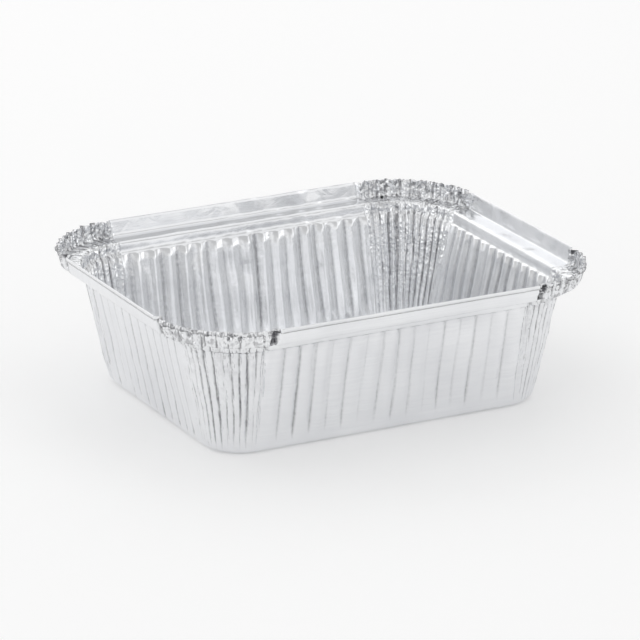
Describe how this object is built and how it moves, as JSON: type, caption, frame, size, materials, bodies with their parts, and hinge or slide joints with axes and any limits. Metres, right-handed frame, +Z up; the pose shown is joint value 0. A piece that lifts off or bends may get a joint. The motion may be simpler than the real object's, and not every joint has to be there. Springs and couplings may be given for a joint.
{
  "type": "foil food container",
  "caption": "Rectangular tapered aluminium foil tray with fluted walls, pleated corners, and a flat flange with an upright lip.",
  "frame": {"origin": "centre of the base's underside, on the table that the container stands on", "axes": "+X along the long sides, +Y across the container, +Z up through the open mouth"},
  "size_m": [0.1474, 0.1224, 0.0455],
  "materials": {
    "foil": "pressed household aluminium foil, bright with fine wrinkles and faint rolling lines"
  },
  "bodies": {
    "root": {"container": "foil"}
  },
  "joints": []
}
